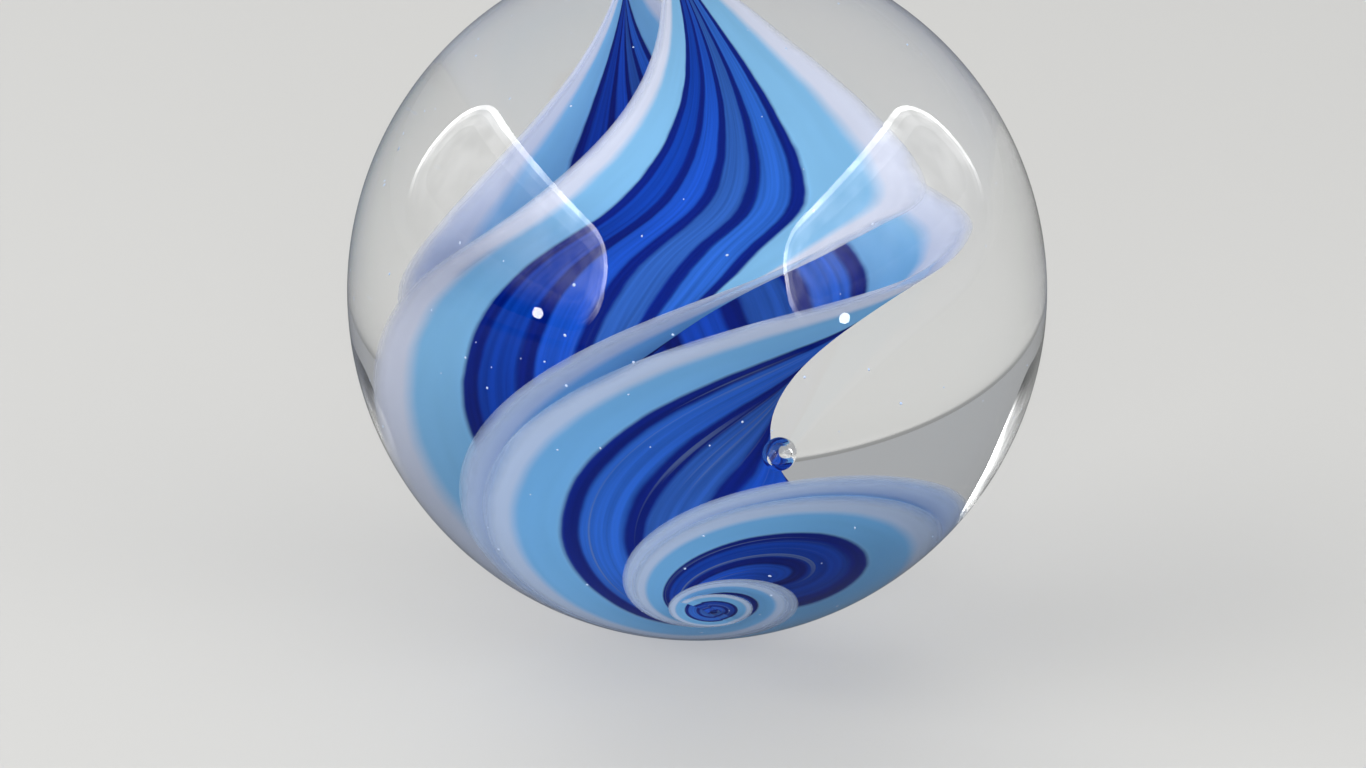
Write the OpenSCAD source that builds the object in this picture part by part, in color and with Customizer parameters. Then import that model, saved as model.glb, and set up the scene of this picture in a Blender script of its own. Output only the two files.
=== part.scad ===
// Handmade glass marble: a clear ball round a twisted core of two coloured ribbons.
// Millimetres. +Z is up, -Y is the front and the origin is the centre of the ball.
//
// The core runs from one pole to the other along a bent spine. Its cross-section is two
// parallel bowed bars, the ribbons. On the way down it swells to a belly and narrows again.
// It turns ever faster, with one quick stretch above the middle, and winds up into a whirl
// at the lower pole, tightest of all in the eye of the whirl. Across its width each ribbon
// is a row of fused strips: white edge, light blue border, blue lanes between dark blue
// lines, light blue border, white edge. Towards the upper end the edges and borders take up
// more of its width. Height along the spine runs from 1 at the upper end of the core to -1
// at the lower end.

/* [Ball] */
// Diameter of the ball
ball_d = 32; // [30:0.5:38]
// Clear glass between the belly of the core and the surface of the ball
cover = 0.5; // [0.3:0.1:1.5]
// How much deeper in the ball each end of the core lies
end_depth = 0.4; // [0.3:0.1:1.5]

/* [Core placement] */
// Lean of the core: the lower pole comes forward
core_lean = 29; // [0:1:60]
// Tilt of the core to one side
core_tilt = -7; // [-15:0.5:15]
// Turn of the core about its own axis: the way the spine bends swings round to one side
core_turn = -11; // [-90:1:90]
// Radius of the bend of the spine, both ends curving forward
spine_bend = 44; // [30:1:80]
// Shift of the core away from the middle of the ball, the way the spine bends
spine_shift = 1.3; // [0:0.1:2]

/* [Ribbons] */
// Width of each ribbon at the belly
ribbon_w = 22.2; // [18:0.2:25]
// Thickness of each ribbon at the belly
ribbon_t = 0.7; // [0.4:0.05:1]
// Distance between the middles of the two ribbons at the belly
ribbon_gap = 7.2; // [4:0.2:8]
// Growth of that distance from the middle of the spine to its upper end
gap_spread = 0.6; // [0:0.05:0.7]
// Bow of both ribbons: how far the middle of each lies in front of its edges
ribbon_bow = 0.9; // [0:0.1:2]
// Wave across both ribbons, a shallow S: left of the middle they come forward, right of it
// they go back
ribbon_wave = 2; // [0:0.1:3]
// Width of each white edge at the belly, before it grows upwards
white_w = 1.8; // [1:0.1:3]
// Width of each light blue border at the belly, before it grows upwards
light_w = 2.5; // [1:0.1:3.5]
// Width of each dark blue line at the belly
dark_w = 1; // [0.5:0.1:1.6]
// How much wider the edges and borders get towards the upper end, as a share of the ribbon
border_growth = 1.4; // [1:0.05:1.6]
// Height along the spine where half of that growth is reached
growth_height = -0.08; // [-0.4:0.02:0.5]

/* [Swell and twist] */
// Height of the belly along the spine
belly_height = -0.34; // [-0.5:0.01:-0.1]
// How sharply the core narrows towards its upper end
top_taper = 2.1; // [1:0.1:3]
// How sharply the core narrows towards the whirl
bottom_taper = 1.1; // [0.5:0.05:2]
// Size of the core's ends as a share of the belly
end_share = 0.15; // [0.08:0.01:0.25]
// Direction that the ribbons face half way along the spine
facing = -18; // [-180:1:180]
// Half of the turn in the quick stretch
quick_turn = 13; // [0:1:30]
// Height of the quick stretch along the spine
quick_height = 0.09; // [0:0.01:0.3]
// Length of the quick stretch
quick_length = 0.07; // [0.05:0.01:0.3]
// Strength of the whirl at the lower pole
whirl = 166; // [60:1:200]
// Size of the whirl's middle, where its strength levels off
whirl_middle = 0.07; // [0.02:0.005:0.1]
// Extra turn in the eye of the whirl
eye_turn = 185; // [0:5:300]
// Size of the eye of the whirl
eye_size = 0.035; // [0.02:0.005:0.1]

/* [Bubble] */
// Diameter of the air bubble beside the core
bubble_d = 1.3; // [0.5:0.1:2]
// Distance of the bubble to the right of the middle of the ball
bubble_right = 3; // [2:0.1:5]
// Distance of the bubble in front of the middle of the ball
bubble_front = 7.7; // [6:0.1:9]
// Distance of the bubble below the middle of the ball
bubble_below = 3.5; // [3:0.1:5]

/* [Hidden] */

$fn = 128;
rings = 54;           // cross-sections along the core
crowding = 2.2;       // how much closer together they lie towards the whirl
limit_power = 10;     // how late the core feels the surface of the ball
growth_length = 0.2;  // how gently the edges and borders grow
bubble_fn = 32;       // sides of the bubble

FRONT = -1;
REAR = 1;
WHITE = "lavender";
LIGHT = "lightskyblue";
DARK = "midnightblue";
BLUE = "royalblue";

// The strips of one ribbon, from its left edge to its right one
strips = [
    WHITE, LIGHT,
    DARK, BLUE, DARK, BLUE, DARK, BLUE, DARK, BLUE, DARK,
    LIGHT, WHITE
];
lane_w = (ribbon_w - 2 * white_w - 2 * light_w - 5 * dark_w) / 4;
function strip_w(colour) =
    colour == WHITE ? white_w :
    colour == LIGHT ? light_w :
    colour == DARK ? dark_w : lane_w;

// Where each strip begins across the ribbon, and where the last one ends
function border(i) = i == 0 ? -ribbon_w / 2 : border(i - 1) + strip_w(strips[i - 1]);
borders = [for (i = [0 : len(strips)]) border(i)];
milk_w = white_w + light_w;

ball_r = ball_d / 2;
belly_r = norm([ribbon_w, ribbon_gap + ribbon_t]) / 2;

// The spine is an arc in an upright plane. Its ends lie end_depth below the cover.
spine_r = spine_bend - spine_shift;
end_angle = acos(
    (pow(spine_r, 2) + pow(spine_bend, 2) - pow(ball_r - cover - end_depth, 2))
    / (2 * spine_r * spine_bend)
);
function spine(height, inward = 0) =
    let (angle = end_angle * height, r = spine_r + inward)
    [0, r * cos(angle) - spine_bend, r * sin(angle)];

// How far the core may reach from its spine before it meets the cover under the surface
function room(height) =
    let (
        middle = spine(height),
        along = [0, -sin(end_angle * height), cos(end_angle * height)],
        rise = middle * along,
        aside = norm(middle - rise * along)
    )
    sqrt(pow(ball_r - cover, 2) - rise * rise) - aside;

// Size of the cross-section as a share of the belly
function swell(height) =
    let (
        body = pow((1 - height) / (1 - belly_height), top_taper)
             * pow((1 + height) / (1 + belly_height), bottom_taper),
        free = belly_r * norm([body, end_share]),
        held = room(height)
    )
    pow(pow(free, -limit_power) + pow(held, -limit_power), -1 / limit_power) / belly_r;

// Runs smoothly from 0 well below a height to 1 well above it
function climb(height, middle, length) = 1 / (1 + exp(2 * (middle - height) / length));

// Turn of the cross-section about the spine, in degrees
function turn(height) =
    facing + quick_turn * (2 * climb(height, quick_height, quick_length) - 1)
    + whirl * ln(1 + height + whirl_middle)
    - eye_turn * exp(-(1 + height) / eye_size);

// Where a strip border lies across the ribbon at a height. The lanes make room for the
// growing edges and borders beside them.
function strip_border(i, height) =
    let (
        growth = 1 + (border_growth - 1) * climb(height, growth_height, growth_length),
        from_edge = ribbon_w / 2 - abs(borders[i])
    )
    from_edge < milk_w ?
        sign(borders[i]) * (ribbon_w / 2 - growth * from_edge) :
        borders[i] * (ribbon_w / 2 - growth * milk_w) / (ribbon_w / 2 - milk_w);

// How far the ribbons lie behind the line between their edges at a strip border
function behind(i) =
    let (share = borders[i] / (ribbon_w / 2))
    (ribbon_wave * share - ribbon_bow) * (1 - share * share);

// A point of the core: across a ribbon and through the core, at a height along the spine
function core_point(across, through, height) =
    let (
        size = swell(height),
        angle = turn(height),
        x = size * (across * cos(angle) - through * sin(angle)),
        inward = size * (across * sin(angle) + through * cos(angle))
    )
    spine(height, inward) + [x, 0, 0];

// Heights of the cross-sections, closer together towards the whirl
heights = [for (i = [0 : rings - 1]) 2 * pow(1 - i / (rings - 1), crowding) - 1];

// Two triangles that close the quad a, b, c, d. They are always split from a to c, so that
// pieces that touch share their facets.
function quad(a, b, c, d, flip) = flip ? [[a, c, b], [a, d, c]] : [[a, b, c], [a, c, d]];

// Glass that runs the length of one ribbon, from one strip border to another across it
module bar(side, first, last) {
    n = last - first + 1;
    points = [
        for (height = heights, face = [-1, 1], i = [first : last])
            core_point(
                strip_border(i, height),
                side * ribbon_gap / 2 * (1 + gap_spread * height) + behind(i)
                + face * ribbon_t / 2,
                height
            )
    ];
    function at(ring, face, i) = (2 * ring + face) * n + i;
    broad_faces = [
        for (k = [0 : rings - 2], i = [0 : n - 2], f = [0, 1])
            quad(at(k, f, i), at(k, f, i + 1), at(k + 1, f, i + 1), at(k + 1, f, i), f == 1)
    ];
    edges = [
        for (k = [0 : rings - 2], i = [0, n - 1])
            quad(at(k, 0, i), at(k, 1, i), at(k + 1, 1, i), at(k + 1, 0, i), i == 0)
    ];
    ends = [
        for (k = [0, rings - 1], i = [0 : n - 2])
            quad(at(k, 0, i), at(k, 0, i + 1), at(k, 1, i + 1), at(k, 1, i), k == 0)
    ];
    polyhedron(points, [for (q = concat(broad_faces, edges, ends)) each q]);
}

// Puts the core in the ball as it lies there
module placed() rotate([-core_lean, core_tilt, 0]) rotate(core_turn) children();

// All strips of one colour in one ribbon
module ribbon_strips(side, colour) {
    color(colour) placed() for (i = [0 : len(strips) - 1]) {
        if (strips[i] == colour) bar(side, i, i + 1);
    }
}

module clear_ball() {
    color("aliceblue", 0.35) difference() {
        sphere(d = ball_d);
        placed() bar(FRONT, 0, len(strips));
        placed() bar(REAR, 0, len(strips));
        translate([bubble_right, -bubble_front, -bubble_below]) sphere(d = bubble_d, $fn = bubble_fn);
    }
}

module front_ribbon_blue_lanes() ribbon_strips(FRONT, BLUE);
module front_ribbon_dark_lines() ribbon_strips(FRONT, DARK);
module front_ribbon_light_borders() ribbon_strips(FRONT, LIGHT);
module front_ribbon_white_edges() ribbon_strips(FRONT, WHITE);
module rear_ribbon_blue_lanes() ribbon_strips(REAR, BLUE);
module rear_ribbon_dark_lines() ribbon_strips(REAR, DARK);
module rear_ribbon_light_borders() ribbon_strips(REAR, LIGHT);
module rear_ribbon_white_edges() ribbon_strips(REAR, WHITE);

clear_ball();
front_ribbon_blue_lanes();
front_ribbon_dark_lines();
front_ribbon_light_borders();
front_ribbon_white_edges();
rear_ribbon_blue_lanes();
rear_ribbon_dark_lines();
rear_ribbon_light_borders();
rear_ribbon_white_edges();
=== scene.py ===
import math
import random

import bmesh
import bpy
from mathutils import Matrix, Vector


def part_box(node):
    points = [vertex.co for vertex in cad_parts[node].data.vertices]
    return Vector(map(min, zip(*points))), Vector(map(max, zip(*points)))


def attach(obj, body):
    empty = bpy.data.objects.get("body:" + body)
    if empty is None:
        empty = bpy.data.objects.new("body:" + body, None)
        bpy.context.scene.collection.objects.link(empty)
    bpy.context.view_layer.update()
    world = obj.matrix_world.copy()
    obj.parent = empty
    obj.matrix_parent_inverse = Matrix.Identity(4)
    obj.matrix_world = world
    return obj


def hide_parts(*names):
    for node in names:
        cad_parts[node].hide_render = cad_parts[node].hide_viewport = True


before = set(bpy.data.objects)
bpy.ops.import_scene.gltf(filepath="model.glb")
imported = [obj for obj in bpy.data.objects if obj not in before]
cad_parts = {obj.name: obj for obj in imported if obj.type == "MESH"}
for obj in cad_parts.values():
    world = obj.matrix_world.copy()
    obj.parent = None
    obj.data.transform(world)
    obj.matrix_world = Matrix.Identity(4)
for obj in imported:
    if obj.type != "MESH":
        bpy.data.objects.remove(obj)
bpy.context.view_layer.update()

# A handmade glass marble. The clear ball, the strips of its two ribbons and its bubbles are
# modelled here as finished pieces. They follow the same laws as the solids, in metres.

low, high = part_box("clear_ball")
BALL_R = (high[2] - low[2]) / 2
MM = BALL_R / 16

# ---------------------------------------------------------------- sizes of the core
# Angles are in degrees. A height is the place along the spine, from 1 at its top to -1.
CORE_LEAN = 29           # the lower end comes forward
CORE_TILT = -7           # and the core leans to one side
CORE_TURN = -11          # turn of the core about its own axis
SPINE_BEND = 44 * MM     # radius of the bent spine
SPINE_SHIFT = 1.3 * MM   # of the core from the middle of the ball, the way the spine bends
COVER = 0.5 * MM         # clear glass between the core's belly and the ball's surface
END_DEPTH = 0.4 * MM     # how much deeper in the ball each end of the core lies
RIBBON_W = 22.2 * MM
RIBBON_T = 0.7 * MM
RIBBON_GAP = 7.2 * MM    # from the middle of one ribbon to that of the other
GAP_SPREAD = 0.6         # how the gap grows up to the upper end, as a share
RIBBON_BOW = 0.9 * MM    # how far the middle of a ribbon lies in front of its edges
RIBBON_WAVE = 2 * MM     # how far it comes forward on its left and goes back on its right
WHITE_W = 1.8 * MM
LIGHT_W = 2.5 * MM
DARK_W = 1 * MM
BORDER_GROWTH = 1.4      # of the edges and borders towards the upper end
GROWTH_HEIGHT = -0.08    # height at which half of that growth is reached
GROWTH_LENGTH = 0.2
BELLY_HEIGHT = -0.34     # height at which the core is widest
TOP_TAPER = 2.1          # how fast it narrows above and below the belly
BOTTOM_TAPER = 1.1
END_SHARE = 0.15         # size of its ends as a share of the belly
FACING = -18             # the way that the ribbons face half way along the spine
WHIRL = 166              # strength of the whirl at the lower end
WHIRL_MIDDLE = 0.07      # where its strength levels off
QUICK_TURN = 13          # half of the quick turn a little above the middle
QUICK_HEIGHT = 0.09
QUICK_LENGTH = 0.07
EYE_TURN = 185           # extra turn in the eye of the whirl
EYE_SIZE = 0.035
LIMIT_POWER = 10         # how late the core feels the surface of the ball
BUBBLE_R = 0.65 * MM
BUBBLE_PLACE = Vector((3, -7.7, -3.5)) * MM
BUBBLE_STRETCH = (0.98, 0.98, 1.0)

RINGS = 160              # cross-sections along each strip
CROWDING = 2.2           # how much closer together they lie towards the whirl
STRIP_STEPS = 3          # facets across each strip
EDGE_ROUND = 0.3 * MM    # rounding of the ribbons' outer edges
EDGE_STEPS = 3
SMOOTH_BELOW = 40        # degrees between faces that are shaded as one
BALL_SIDES = 256
BUBBLE_SIDES = 48
WELD = BALL_R / 1e5      # points closer than this are one

SPECKS = 220
SPECK_R = (0.02 * MM, 0.05 * MM)
SPECK_DEPTH = (0.86, 0.965)      # share of the ball's radius that they lie at
SPECK_LENGTH = (1, 2.5)          # how far they are drawn out
SPECK_WIDTH = (1, 1.6)

STRIPS = ["white", "light", "dark", "blue", "dark", "blue", "dark", "blue", "dark",
          "blue", "dark", "light", "white"]
LANE_W = (RIBBON_W - 2 * WHITE_W - 2 * LIGHT_W - 5 * DARK_W) / 4
STRIP_W = {"white": WHITE_W, "light": LIGHT_W, "dark": DARK_W, "blue": LANE_W}
# Where the strips of each glass lie: at the left edge (-1), the right edge (1) or between
# the borders (0)
EDGES = {"white": (-1, 1), "light": (-1, 1), "dark": (0,), "blue": (0,)}
HALF_W = RIBBON_W / 2
MILK_W = WHITE_W + LIGHT_W

BELLY_R = math.hypot(RIBBON_W, RIBBON_GAP + RIBBON_T) / 2
SPINE_R = SPINE_BEND - SPINE_SHIFT
END_ANGLE = math.acos(
    (SPINE_R ** 2 + SPINE_BEND ** 2 - (BALL_R - COVER - END_DEPTH) ** 2)
    / (2 * SPINE_R * SPINE_BEND))
SPINE_MIDDLE = Vector((0, -SPINE_SHIFT, 0))
BEND_CENTRE = Vector((0, -SPINE_BEND, 0))
CENTRE = Vector((0, 0, 0))


def room(height):
    """How far the core may reach from its spine before it meets the cover."""
    angle = END_ANGLE * height
    middle = Vector((0, SPINE_R * math.cos(angle) - SPINE_BEND, SPINE_R * math.sin(angle)))
    along = Vector((0, -math.sin(angle), math.cos(angle)))
    rise = middle.dot(along)
    aside = (middle - rise * along).length
    return math.sqrt((BALL_R - COVER) ** 2 - rise * rise) - aside


def swell(height):
    """Size of the cross-section as a share of the belly."""
    body = (((1 - height) / (1 - BELLY_HEIGHT)) ** TOP_TAPER
            * ((1 + height) / (1 + BELLY_HEIGHT)) ** BOTTOM_TAPER)
    free = math.hypot(body, END_SHARE)
    held = room(height) / BELLY_R
    return (free ** -LIMIT_POWER + held ** -LIMIT_POWER) ** (-1 / LIMIT_POWER)


def turn(height):
    """Turn of the cross-section about the spine, in radians."""
    quick = QUICK_TURN * math.tanh((height - QUICK_HEIGHT) / QUICK_LENGTH)
    whirl = WHIRL * math.log(1 + height + WHIRL_MIDDLE)
    eye = EYE_TURN * math.exp(-(1 + height) / EYE_SIZE)
    return math.radians(FACING + quick + whirl - eye)


def milk_growth(height):
    """Width of the edges and borders, as a share of their width at the belly."""
    rise = (1 + math.tanh((height - GROWTH_HEIGHT) / GROWTH_LENGTH)) / 2
    return 1 + (BORDER_GROWTH - 1) * rise


def lanes_growth(height):
    """Width that they leave for the lanes, as a share of that at the belly."""
    return (HALF_W - milk_growth(height) * MILK_W) / (HALF_W - MILK_W)


def behind(across):
    """How far a ribbon lies behind the line between its edges."""
    share = across / HALF_W
    return (RIBBON_WAVE * share - RIBBON_BOW) * (1 - share * share)


HEIGHTS = [2 * (1 - i / (RINGS - 1)) ** CROWDING - 1 for i in range(RINGS)]


# ---------------------------------------------------------------- modelling
def start_piece():
    """Leaves edit mode and deselects everything, so that the next operator acts on the
    new piece alone."""
    if bpy.context.object and bpy.context.object.mode != "OBJECT":
        bpy.ops.object.mode_set(mode="OBJECT")
    bpy.ops.object.select_all(action="DESELECT")


def rotate_about(axis, radians, centre):
    """Turns what is selected by the right-hand rule. With no window the operator turns the
    other way."""
    bpy.ops.transform.rotate(value=-radians, orient_axis=axis, orient_type="GLOBAL",
                             center_override=centre)


def finish_piece(piece, name, nodes=()):
    """Names a piece, ties it to its body and hides the nodes that it goes with."""
    if bpy.context.object.mode != "OBJECT":
        bpy.ops.object.mode_set(mode="OBJECT")
    piece.name = piece.data.name = name
    bpy.ops.object.transform_apply(location=True, rotation=True, scale=True)
    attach(piece, "root")
    if nodes:
        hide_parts(*nodes)
    return piece


def mark_ring(piece, height):
    """Writes the height along the spine on the selected points, for the colours."""
    mesh = bmesh.from_edit_mesh(piece.data)
    along = mesh.verts.layers.float["along"]
    for point in mesh.verts:
        if point.select:
            point[along] = height


def select_column(piece, place):
    """Selects the points at one place across the ribbon."""
    mesh = bmesh.from_edit_mesh(piece.data)
    for point in mesh.verts:
        point.select_set(abs(point.co.x - place) < RIBBON_T / 100)
    mesh.select_flush_mode()
    bmesh.update_edit_mesh(piece.data)


def strip_ends(side, glass, edge):
    """The flat faces that the strips of one glass start from: those beside the left edge of
    a ribbon (edge -1), beside its right edge (1) or between its borders (0). Each point
    keeps its place across the ribbon, as a share of half its width."""
    start_piece()
    left = -HALF_W
    piece = None
    for kind in STRIPS:
        middle = left + STRIP_W[kind] / 2
        left += STRIP_W[kind]
        if kind != glass or edge * middle < 0:
            continue
        if piece:
            bpy.ops.mesh.select_all(action="DESELECT")
        bpy.ops.mesh.primitive_grid_add(x_subdivisions=STRIP_STEPS, y_subdivisions=1, size=1)
        if piece is None:
            piece = bpy.context.object
            bpy.ops.object.mode_set(mode="EDIT")
            bpy.ops.mesh.select_all(action="SELECT")
        bpy.ops.transform.resize(value=(STRIP_W[kind], RIBBON_T, 1), center_override=CENTRE)
        bpy.ops.transform.translate(value=(middle, 0, 0))
    if glass == "white":
        select_column(piece, edge * HALF_W)
        bpy.ops.mesh.bevel(affect="VERTICES", offset=EDGE_ROUND, segments=EDGE_STEPS)
    mesh = bmesh.from_edit_mesh(piece.data)
    across = mesh.verts.layers.float.new("across")
    mesh.verts.layers.float.new("along")
    for point in mesh.verts:
        point[across] = point.co.x / HALF_W
    columns = {round(point.co.x / MM, 3) * MM for point in mesh.verts}
    bmesh.update_edit_mesh(piece.data)
    for place in sorted(columns):
        select_column(piece, place)
        bpy.ops.transform.translate(value=(0, behind(place), 0))
    bpy.ops.mesh.select_all(action="SELECT")
    bpy.ops.transform.translate(value=(0, side * RIBBON_GAP / 2 - SPINE_SHIFT, 0))
    return piece


def draw_out(piece, side, edge):
    """Draws the selected faces out ring by ring down the bent spine. On the way they turn
    and swell, edges and borders grow away from the ribbon's edge, and lanes make room."""
    angle, twist, size = 0.0, 0.0, 1.0
    aside, width = side * RIBBON_GAP / 2, 1.0
    for i, height in enumerate(HEIGHTS):
        if i:
            bpy.ops.mesh.extrude_region_move()
        rotate_about("X", -angle, BEND_CENTRE)
        bpy.ops.transform.resize(value=(1 / size,) * 3, center_override=SPINE_MIDDLE)
        rotate_about("Z", -twist, SPINE_MIDDLE)
        new_aside = side * RIBBON_GAP / 2 * (1 + GAP_SPREAD * height)
        new_width = milk_growth(height) if edge else lanes_growth(height)
        bpy.ops.transform.translate(value=(0, new_aside - aside, 0))
        bpy.ops.transform.resize(value=(new_width / width, 1, 1),
                                 center_override=(edge * HALF_W, 0, 0))
        angle, twist, size = END_ANGLE * height, turn(height), swell(height)
        aside, width = new_aside, new_width
        rotate_about("Z", twist, SPINE_MIDDLE)
        bpy.ops.transform.resize(value=(size,) * 3, center_override=SPINE_MIDDLE)
        rotate_about("X", angle, BEND_CENTRE)
        mark_ring(piece, height)


def ribbon_piece(side, glass, name, node):
    """All strips of one glass in one ribbon, turned as the core lies in the ball."""
    parts = []
    for edge in EDGES[glass]:
        part = strip_ends(side, glass, edge)
        draw_out(part, side, edge)
        bpy.ops.object.mode_set(mode="OBJECT")
        parts.append(part)
    for part in parts:
        part.select_set(True)
    bpy.ops.object.join()
    piece = bpy.context.object
    bpy.ops.object.mode_set(mode="EDIT")
    bpy.ops.mesh.select_all(action="SELECT")
    rotate_about("Z", math.radians(CORE_TURN), CENTRE)
    rotate_about("X", math.radians(-CORE_LEAN), CENTRE)
    rotate_about("Y", math.radians(CORE_TILT), CENTRE)
    bpy.ops.mesh.normals_make_consistent(inside=False)
    bpy.ops.object.mode_set(mode="OBJECT")
    bpy.ops.object.shade_smooth_by_angle(angle=math.radians(SMOOTH_BELOW))
    return finish_piece(piece, name, [node])


# ---------------------------------------------------------------- glass colours
def glass_colour(red, green, blue):
    """A colour as the eye sees it, 0 to 255, made linear."""
    shares = [c / 255 for c in (red, green, blue)]
    return [s / 12.92 if s < 0.04045 else ((s + 0.055) / 1.055) ** 2.4 for s in shares] + [1]


MILK_WHITE = glass_colour(207, 211, 226)
MILK_BLUE = glass_colour(130, 186, 224)
INK_BLUE = glass_colour(2, 29, 122)
LANE_BLUES = [glass_colour(10, 62, 166), glass_colour(26, 82, 192),
              glass_colour(44, 92, 174), glass_colour(42, 100, 196)]
SMOKE = glass_colour(120, 142, 168)
SPECK_BLUE = glass_colour(150, 190, 240)
DEEPER = [0.62, 0.80, 0.98, 1]               # how the milk deepens towards the whirl
LIGHT_THROUGH = [0.80, 0.88, 1.0, 1]         # tint of light that has crossed a ribbon
CLEAR_TINT = [0.985, 0.992, 0.99, 1]         # faint tint of the clear glass
GLASS_BEND = 1.5                             # how strongly the clear glass bends light
GLASS_SHADE = 0.97                           # share of light that passes straight through

# Places across a ribbon and widths are shares of half its width.
LANES_SHARE = 1 - 2 * MILK_W / RIBBON_W
SOFT_MILK = 0.03         # half the width of the soft border between the two milks
SOFT_LINE = 0.012        # and of that beside a dark line
WAVER = 0.03             # how much the borders waver
MILK_STARTS = (LANES_SHARE - 0.02, LANES_SHARE + 0.03)   # where lanes give way to milk
EDGE_FADES = (0.92, 1.01)        # where the white edge melts into the clear glass
FADED = 0.85             # how clear it gets there
LOWER_PART = (0.0, -0.6)         # heights between which the lower part's look sets in
LANE_STREAKS = (0.84, 1.22)      # darkest and lightest streak in the lanes
MILK_CLOUDS = (0.95, 1.03)       # darkest and lightest cloud in the milk
DEEPENING = 0.75         # share of the deepening at the lower end
SMOKE_SHARE = 0.6        # how thick the smoky streaks in the lower lanes are
MATT = 0.5               # roughness of the milky glass
GLOW_SHARE = 0.15        # share of its light that comes from behind
LIGHT_SHARE = 0.6        # share of light that a ribbon lets through


class Nodes:
    """Short ways to add shader nodes to one material."""

    def __init__(self, name):
        self.material = bpy.data.materials.new(name)
        self.material.use_nodes = True
        self.tree = self.material.node_tree
        self.tree.nodes.clear()

    def add(self, kind, **settings):
        node = self.tree.nodes.new(kind)
        for key, value in settings.items():
            setattr(node, key, value)
        return node

    def link(self, source, target):
        self.tree.links.new(source, target)

    def math(self, operation, first, second=None, third=None):
        node = self.add("ShaderNodeMath", operation=operation)
        for socket, value in zip(node.inputs, (first, second, third)):
            if isinstance(value, (int, float)):
                socket.default_value = value
            elif value is not None:
                self.link(value, socket)
        return node.outputs[0]

    def attribute(self, name):
        return self.add("ShaderNodeAttribute", attribute_name=name).outputs["Fac"]

    def noise(self, across_scale, along_scale, seed, detail=2.0):
        """Noise that is stretched along the ribbon."""
        place = self.add("ShaderNodeCombineXYZ")
        self.link(self.math("MULTIPLY", self.attribute("across"), across_scale),
                  place.inputs["X"])
        self.link(self.math("MULTIPLY", self.attribute("along"), along_scale),
                  place.inputs["Y"])
        place.inputs["Z"].default_value = seed
        noise = self.add("ShaderNodeTexNoise")
        noise.inputs["Scale"].default_value = 1.0
        noise.inputs["Detail"].default_value = detail
        self.link(place.outputs[0], noise.inputs["Vector"])
        return noise.outputs["Fac"]

    def grey(self, value):
        """The same value in red, green and blue."""
        grey = self.add("ShaderNodeCombineColor")
        for name in ("Red", "Green", "Blue"):
            self.link(value, grey.inputs[name])
        return grey.outputs[0]

    def mix_number(self, share, first, second):
        mix = self.add("ShaderNodeMix", data_type="FLOAT")
        for socket, value in zip(mix.inputs, (share, None, first, second)):
            if value is not None:
                self.link(value, socket)
        return mix.outputs[0]

    def mix_shader(self, share, first, second):
        mix = self.add("ShaderNodeMixShader")
        if hasattr(share, "links"):
            self.link(share, mix.inputs[0])
        else:
            mix.inputs[0].default_value = share
        self.link(first.outputs[0], mix.inputs[1])
        self.link(second.outputs[0], mix.inputs[2])
        return mix

    def let_light_through(self, shader, passing):
        """Rays from the lamps and from matt surfaces meet the passing shader instead."""
        path = self.add("ShaderNodeLightPath")
        for ray in ("Is Shadow Ray", "Is Diffuse Ray"):
            shader = self.mix_shader(path.outputs[ray], shader, passing)
        return shader

    def mix_colour(self, share, first, second, blend="MIX"):
        mix = self.add("ShaderNodeMix", data_type="RGBA", blend_type=blend)
        for socket, value in ((mix.inputs[0], share), (mix.inputs[6], first),
                              (mix.inputs[7], second)):
            if hasattr(value, "links"):
                self.link(value, socket)
            else:
                socket.default_value = value
        return mix.outputs[2]

    def remap(self, value, low_in, high_in, low_out=0.0, high_out=1.0):
        node = self.add("ShaderNodeMapRange", interpolation_type="SMOOTHSTEP")
        self.link(value, node.inputs["Value"])
        for name, number in (("From Min", low_in), ("From Max", high_in),
                             ("To Min", low_out), ("To Max", high_out)):
            node.inputs[name].default_value = number
        return node.outputs["Result"]

    def finish(self, shader):
        self.link(shader.outputs[0], self.add("ShaderNodeOutputMaterial").inputs["Surface"])


def strip_colours():
    """Place and colour along a ramp across the whole ribbon, with a soft border between
    neighbours."""
    stops = []
    left, soft, last = -1.0, 0.0, None
    lane_blues = iter(LANE_BLUES)
    for kind in STRIPS:
        if last:
            soft = SOFT_MILK if {kind, last} == {"white", "light"} else SOFT_LINE
            stops[-1][0] = left - soft
        colour = {"white": MILK_WHITE, "light": MILK_BLUE, "dark": INK_BLUE}.get(kind)
        colour = colour or next(lane_blues)
        stops.append([left + soft, colour])
        left += 2 * STRIP_W[kind] / RIBBON_W
        stops.append([left, colour])
        last = kind
    return stops


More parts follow.
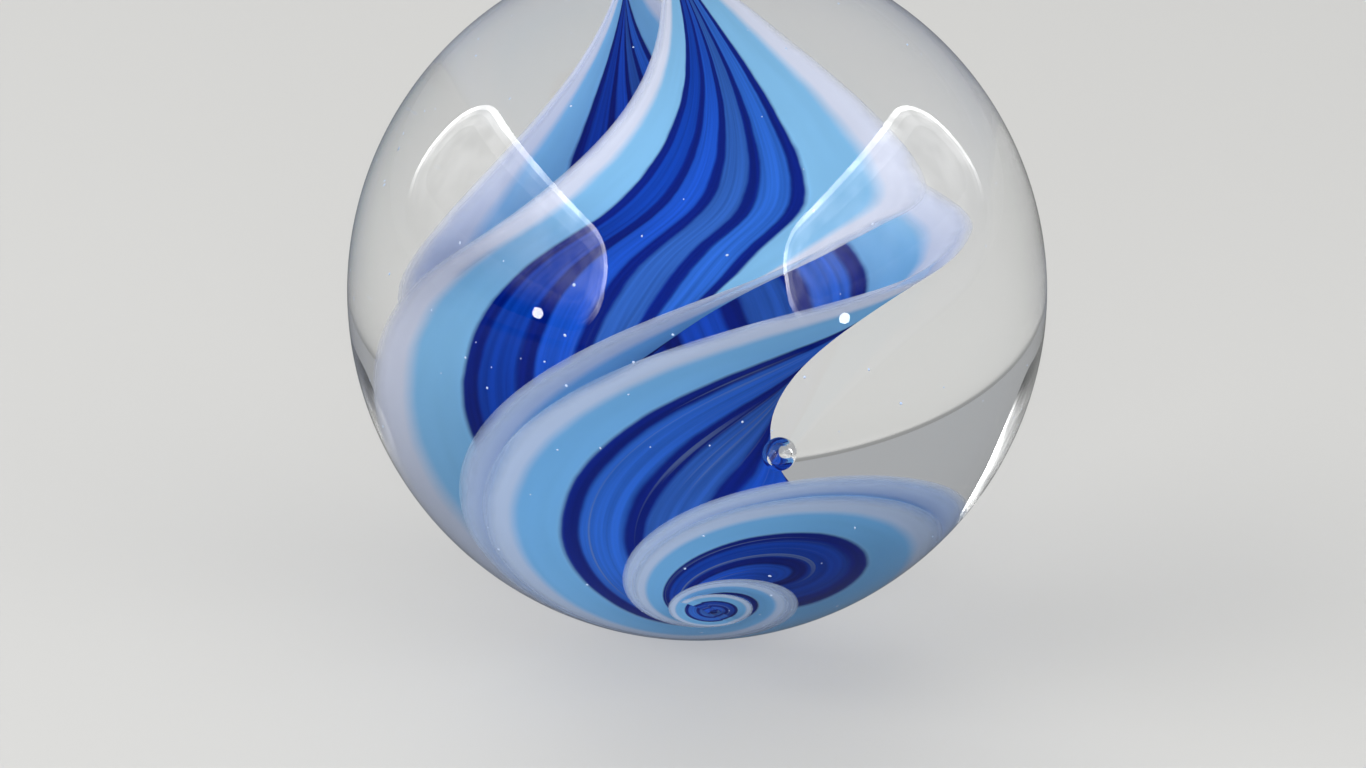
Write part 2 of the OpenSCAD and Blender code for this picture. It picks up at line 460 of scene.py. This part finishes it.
def ribbon_glass(name, seed, painted_light_gain):
    """Milky coloured glass. Its colour follows the place across the ribbon, softly blended
    from strip to strip. The milk is smooth and the lanes are drawn out in fine streaks."""
    n = Nodes(name)
    waver = n.math("MULTIPLY_ADD", n.noise(3, 14, seed), WAVER, -WAVER / 2)
    across = n.math("ADD", n.attribute("across"), waver)
    ramp = n.add("ShaderNodeValToRGB")
    n.link(n.math("MULTIPLY_ADD", across, 0.5, 0.5), ramp.inputs["Fac"])
    stops = strip_colours()
    while len(ramp.color_ramp.elements) < len(stops):
        ramp.color_ramp.elements.new(0.5)
    for element, (place, colour) in zip(ramp.color_ramp.elements, stops):
        element.position = 0.5 + place / 2
        element.color = colour
    aside = n.math("ABSOLUTE", across)
    milk = n.remap(aside, *MILK_STARTS)
    lower = n.remap(n.attribute("along"), *LOWER_PART)
    # Painted light: the last argument scales the streaks and clouds, and so the whole colour,
    # making the rear ribbon lighter to make up for the shade that the front ribbon casts on
    # it.
    fine = n.remap(n.noise(30, 2.5, seed + 4, 3.0), 0.3, 0.72,
                   *[share * painted_light_gain for share in LANE_STREAKS])
    cloudy = n.remap(n.noise(7, 4, seed + 6), 0.3, 0.7,
                     *[share * painted_light_gain for share in MILK_CLOUDS])
    streaks = n.mix_number(milk, fine, cloudy)
    tint = n.mix_colour(1.0, ramp.outputs["Color"], n.grey(streaks), "MULTIPLY")
    deep = n.mix_colour(n.math("MULTIPLY", lower, DEEPENING), tint,
                        n.mix_colour(1.0, tint, DEEPER, "MULTIPLY"))
    tint = n.mix_colour(milk, tint, deep)
    wisps = n.remap(n.noise(24, 1.6, seed + 9, 2.0), 0.6, 0.72)
    wisps = n.math("MULTIPLY", n.math("MULTIPLY", wisps, lower),
                   n.math("MULTIPLY_ADD", milk, -SMOKE_SHARE, SMOKE_SHARE))
    colour = n.mix_colour(wisps, tint, SMOKE)
    shader = n.add("ShaderNodeBsdfPrincipled")
    shader.inputs["Roughness"].default_value = MATT
    shader.inputs["Specular IOR Level"].default_value = 0.0
    n.link(colour, shader.inputs["Base Color"])
    glow = n.add("ShaderNodeBsdfTranslucent")
    n.link(colour, glow.inputs["Color"])
    body = n.mix_shader(GLOW_SHARE, shader, glow)
    tinted = n.add("ShaderNodeBsdfTransparent")
    tinted.inputs["Color"].default_value = LIGHT_THROUGH
    lit = n.let_light_through(body, n.mix_shader(LIGHT_SHARE, body, tinted))
    edge = n.math("MULTIPLY_ADD", waver, 2.0, aside)
    clear = n.add("ShaderNodeBsdfTransparent")
    n.finish(n.mix_shader(n.remap(edge, *EDGE_FADES, 0.0, FADED), lit, clear))
    return n.material


def clear_glass(name, bend, shade):
    """Clear polished glass. Light from the lamps and from the milky glass inside passes
    straight through it, a little dimmed."""
    n = Nodes(name)
    glass = n.add("ShaderNodeBsdfPrincipled")
    glass.inputs["Base Color"].default_value = CLEAR_TINT
    glass.inputs["Roughness"].default_value = 0.0
    glass.inputs["IOR"].default_value = bend
    glass.inputs["Transmission Weight"].default_value = 1.0
    passing = n.add("ShaderNodeBsdfTransparent")
    passing.inputs["Color"].default_value = [shade, shade, shade, 1]
    n.finish(n.let_light_through(glass, passing))
    return n.material


# ---------------------------------------------------------------- the ball
def clear_ball():
    """A half circle spun round to a ball, and closed at its poles."""
    start_piece()
    bpy.ops.mesh.primitive_circle_add(vertices=BALL_SIDES, radius=BALL_R)
    ball = bpy.context.object
    bpy.ops.object.mode_set(mode="EDIT")
    bpy.ops.mesh.select_all(action="SELECT")
    rotate_about("X", math.radians(90), CENTRE)
    bpy.ops.mesh.bisect(plane_co=CENTRE, plane_no=(1, 0, 0), clear_inner=True,
                        threshold=WELD)
    bpy.ops.mesh.select_all(action="SELECT")
    bpy.ops.mesh.spin(steps=BALL_SIDES, angle=math.tau, center=CENTRE, axis=(0, 0, 1))
    bpy.ops.mesh.select_all(action="SELECT")
    bpy.ops.mesh.remove_doubles(threshold=WELD)
    bpy.ops.mesh.normals_make_consistent(inside=False)
    bpy.ops.object.mode_set(mode="OBJECT")
    bpy.ops.object.shade_smooth()
    ball.data.materials.append(clear_glass("clear glass", GLASS_BEND, GLASS_SHADE))
    return finish_piece(ball, "clear_ball_glass", ["clear_ball"])


def air_bubble():
    """The air bubble beside the core: a small ball of air, a little drawn out."""
    start_piece()
    bpy.ops.mesh.primitive_uv_sphere_add(segments=BUBBLE_SIDES, ring_count=BUBBLE_SIDES // 2,
                                         radius=BUBBLE_R)
    bubble = bpy.context.object
    bpy.ops.object.mode_set(mode="EDIT")
    bpy.ops.mesh.select_all(action="SELECT")
    bpy.ops.transform.resize(value=BUBBLE_STRETCH, center_override=CENTRE)
    bpy.ops.transform.translate(value=BUBBLE_PLACE)
    bpy.ops.object.mode_set(mode="OBJECT")
    bpy.ops.object.shade_smooth()
    bubble.data.materials.append(clear_glass("air in glass", 1 / GLASS_BEND, 1.0))
    return finish_piece(bubble, "air_bubble")


def white_specks():
    """Tiny pale specks, drawn out a little, scattered under the skin: partly specks of milky
    glass and dust, partly painted glints that stand for tiny seed bubbles catching the light.
    """
    start_piece()
    chance = random.Random(5)
    specks = None
    for _ in range(SPECKS):
        spot = Vector([chance.gauss(0, 1) for _ in range(3)]).normalized()
        size = chance.uniform(*SPECK_R)
        bpy.ops.mesh.primitive_ico_sphere_add(subdivisions=1, radius=size)
        if specks is None:
            specks = bpy.context.object
            bpy.ops.object.mode_set(mode="EDIT")
            bpy.ops.mesh.select_all(action="SELECT")
        bpy.ops.transform.resize(value=(chance.uniform(*SPECK_LENGTH), 1,
                                        chance.uniform(*SPECK_WIDTH)),
                                 center_override=CENTRE)
        rotate_about("Y", chance.uniform(0, math.pi), CENTRE)
        bpy.ops.transform.translate(value=spot * BALL_R * chance.uniform(*SPECK_DEPTH))
        bpy.ops.mesh.select_all(action="DESELECT")
    bpy.ops.object.mode_set(mode="OBJECT")
    bpy.ops.object.shade_smooth()
    # Painted glints: the pale colour stands for the glints of tiny seed bubbles as well as
    # for specks of milky glass.
    n = Nodes("milky specks and painted glints")
    shader = n.add("ShaderNodeBsdfPrincipled")
    cloud = n.add("ShaderNodeTexNoise")
    cloud.inputs["Scale"].default_value = 0.4 / MM
    n.link(n.add("ShaderNodeTexCoord").outputs["Object"], cloud.inputs["Vector"])
    n.link(n.mix_colour(cloud.outputs["Fac"], SPECK_BLUE, MILK_WHITE),
           shader.inputs["Base Color"])
    shader.inputs["Roughness"].default_value = 0.4
    n.finish(shader)
    specks.data.materials.append(n.material)
    return finish_piece(specks, "white_specks")


GLASSES = {              # pieces of each glass and their slot
    "white": ("white_edges", "white_glass"),
    "light": ("light_borders", "light_blue_glass"),
    "dark": ("dark_lines", "dark_blue_glass"),
    "blue": ("blue_lanes", "blue_glass"),
}
# The fourth number paints light: the rear ribbon is painted lighter to make up for the shade
# that the front ribbon casts on it.
RIBBONS = ((-1, "front", 3.0, 1.0), (1, "rear", 11.0, 1.1))      # side, name, seed, lightness

for glass, (pieces, slot_name) in GLASSES.items():
    for side, word, seed, painted_light_gain in RIBBONS:
        node = word + "_ribbon_" + pieces
        piece = ribbon_piece(side, glass, node + "_glass", node)
        piece.data.materials.append(ribbon_glass(word + " " + slot_name.replace("_", " "),
                                                 seed, painted_light_gain))
clear_ball()
air_bubble()
white_specks()

# ---------------------------------------------------------------- studio
# The glass mirrors the two windows, the two small lamps, and a dim floor and room.
ROOM = 0.4               # distance of the windows and the lamps beside them
BOX_DISTANCE = 0.6       # distance of the soft boxes
FLOOR_SIZE = 4
PALE_FLOOR = glass_colour(194, 193, 190)
DIM_FLOOR = glass_colour(92, 92, 90)         # the floor in a mirror
SKY = (0.95, 0.97, 1.0, 1)
ROOM_LIGHT = 0.55
ROOM_IN_MIRROR = 0.15
ROOM_IN_GLASS = 0.42     # the room where it shows through the glass

WINDOW_ROUND = 0.42      # rounding of a window's corners, as a share of its height
WINDOW_BANDS = (         # name, brightness and width of each band, from the outside in
    ("frame", 11.0, 0.02),
    ("haze", 4.0, 0.02),
    ("veil", 2.6, 0.04),
    ("pane", 1.5, 0),
)
WINDOW_CLOUDS = (0.5, 1.3)       # darkest and brightest cloud
WINDOW_FOOT = (-0.15, 0.0)       # heights on a window between which it lights up
WINDOWS = (              # name, direction, size and height
    ("left window", (-0.978, -0.208, 0), (0.86, 0.33), 0.195),
    ("right window", (0.974, -0.225, 0), (0.86, 0.34), 0.205),
)
LAMPS = (                # name, direction, distance, size, power, mirrored in the glass
    ("front soft box", (0.0, -0.88, 0.47), BOX_DISTANCE, (0.5, 0.4), 2.4, False),
    ("rear soft box", (-0.2, 0.8, 0.55), BOX_DISTANCE, (0.5, 0.4), 1.2, False),
    ("left window light", (-0.84, -0.224, 0.489), ROOM, (0.3, 0.26), 0.75, False),
    ("right window light", (0.72, -0.378, 0.571), ROOM, (0.3, 0.26), 0.4, False),
    ("left small lamp", (-0.781, -0.615, 0.109), ROOM, (0.026, 0.022), 0.03, True),
    ("right small lamp", (0.735, -0.671, 0.1), ROOM, (0.026, 0.022), 0.03, True),
)

VIEW_ELEVATION = math.radians(20)
VIEW_DISTANCE = 16 * BALL_R
LENS = 147.3
SENSOR_WIDTH = 36
AIM_RIGHT = -0.64 * MM   # where the camera looks, from the middle of the ball
AIM_UP = -4.26 * MM


def pale_floor():
    """A wide pale floor, which is dim where the glass mirrors it."""
    start_piece()
    bpy.ops.mesh.primitive_plane_add(size=FLOOR_SIZE, location=(0, 0, -BALL_R))
    floor = bpy.context.object
    floor.name = "floor"
    n = Nodes("pale floor")
    matt = n.add("ShaderNodeBsdfDiffuse")
    rays = n.add("ShaderNodeLightPath")
    in_mirror = n.add("ShaderNodeMath", operation="SUBTRACT", use_clamp=True)
    n.link(rays.outputs["Is Glossy Ray"], in_mirror.inputs[0])
    n.link(rays.outputs["Is Transmission Ray"], in_mirror.inputs[1])
    n.link(n.mix_colour(in_mirror.outputs["Value"], PALE_FLOOR, DIM_FLOOR),
           matt.inputs["Color"])
    n.finish(matt)
    floor.data.materials.append(n.material)


def room_light():
    """The even light of the room, dimmer in a mirror and through the glass."""
    world = bpy.data.worlds.new("studio")
    world.use_nodes = True
    nodes, links = world.node_tree.nodes, world.node_tree.links
    sky = nodes["Background"]
    sky.inputs["Color"].default_value = SKY
    rays = nodes.new("ShaderNodeLightPath")
    in_glass = nodes.new("ShaderNodeMapRange")
    in_glass.inputs["To Min"].default_value = ROOM_IN_MIRROR
    in_glass.inputs["To Max"].default_value = ROOM_IN_GLASS
    level = nodes.new("ShaderNodeMapRange")
    level.inputs["To Min"].default_value = ROOM_LIGHT
    links.new(rays.outputs["Is Transmission Ray"], in_glass.inputs["Value"])
    links.new(rays.outputs["Is Glossy Ray"], level.inputs["Value"])
    links.new(in_glass.outputs["Result"], level.inputs["To Max"])
    links.new(level.outputs["Result"], sky.inputs["Strength"])
    bpy.context.scene.world = world


def soft_lamp(name, direction, distance, size, power, mirrored):
    """A soft lamp that faces the marble. The glass mirrors it only where it is asked to."""
    lamp = bpy.data.objects.new(name, bpy.data.lights.new(name, "AREA"))
    lamp.data.shape = "ELLIPSE"
    lamp.data.size, lamp.data.size_y = size
    lamp.data.energy = power
    lamp.location = Vector(direction).normalized() * distance
    lamp.rotation_euler = Vector(direction).to_track_quat("Z", "Y").to_euler()
    lamp.visible_camera = False
    lamp.visible_glossy = lamp.visible_transmission = mirrored
    bpy.context.scene.collection.objects.link(lamp)


def window_glow(name, strength):
    """A glowing surface, a little cloudy, that fades out towards the foot of its window."""
    n = Nodes(name)
    place = n.add("ShaderNodeTexCoord").outputs["Object"]
    parts = n.add("ShaderNodeSeparateXYZ")
    n.link(place, parts.inputs[0])
    cloud = n.add("ShaderNodeTexNoise")
    cloud.inputs["Scale"].default_value = 11.0
    n.link(place, cloud.inputs["Vector"])
    level = n.math("MULTIPLY", n.remap(parts.outputs["Y"], *WINDOW_FOOT),
                   n.remap(cloud.outputs["Fac"], 0.3, 0.7,
                           *[share * strength for share in WINDOW_CLOUDS]))
    glow = n.add("ShaderNodeEmission")
    n.link(level, glow.inputs["Strength"])
    n.finish(glow)
    return n.material


def window_card(name, direction, size, height):
    """A hazy window with rounded corners, brighter towards its frame, which only the glass
    mirrors."""
    start_piece()
    bpy.ops.mesh.primitive_plane_add(size=1)
    card = bpy.context.object
    bpy.ops.object.mode_set(mode="EDIT")
    bpy.ops.mesh.select_all(action="SELECT")
    bpy.ops.transform.resize(value=(size[0], size[1], 1), center_override=CENTRE)
    bpy.ops.mesh.bevel(affect="VERTICES", offset=min(size) * WINDOW_ROUND, segments=10)
    bpy.ops.mesh.select_all(action="SELECT")
    for i, (band, strength, width) in enumerate(WINDOW_BANDS):
        card.data.materials.append(window_glow(name + " " + band, strength))
        card.active_material_index = i
        bpy.ops.object.material_slot_assign()
        if width:
            bpy.ops.mesh.inset(thickness=width)
    bpy.ops.object.mode_set(mode="OBJECT")
    card.name = name
    card.location = Vector(direction).normalized() * ROOM + Vector((0, 0, height))
    card.rotation_euler = Vector(direction).to_track_quat("Z", "Y").to_euler()
    card.visible_camera = card.visible_diffuse = card.visible_shadow = False


def front_camera():
    """A camera in front of the marble and a little above it."""
    camera = bpy.data.objects.new("camera", bpy.data.cameras.new("camera"))
    camera.data.lens = LENS
    camera.data.sensor_width = SENSOR_WIDTH
    bpy.context.scene.collection.objects.link(camera)
    back = Vector((0, -math.cos(VIEW_ELEVATION), math.sin(VIEW_ELEVATION)))
    up = Vector((0, math.sin(VIEW_ELEVATION), math.cos(VIEW_ELEVATION)))
    camera.location = back * VIEW_DISTANCE
    aim = up * AIM_UP + Vector((AIM_RIGHT, 0, 0))
    camera.rotation_euler = (camera.location - aim).to_track_quat("Z", "Y").to_euler()
    bpy.context.scene.camera = camera


pale_floor()
room_light()
for lamp in LAMPS:
    soft_lamp(*lamp)
for window in WINDOWS:
    window_card(*window)
front_camera()
bpy.context.scene.view_settings.view_transform = "Standard"
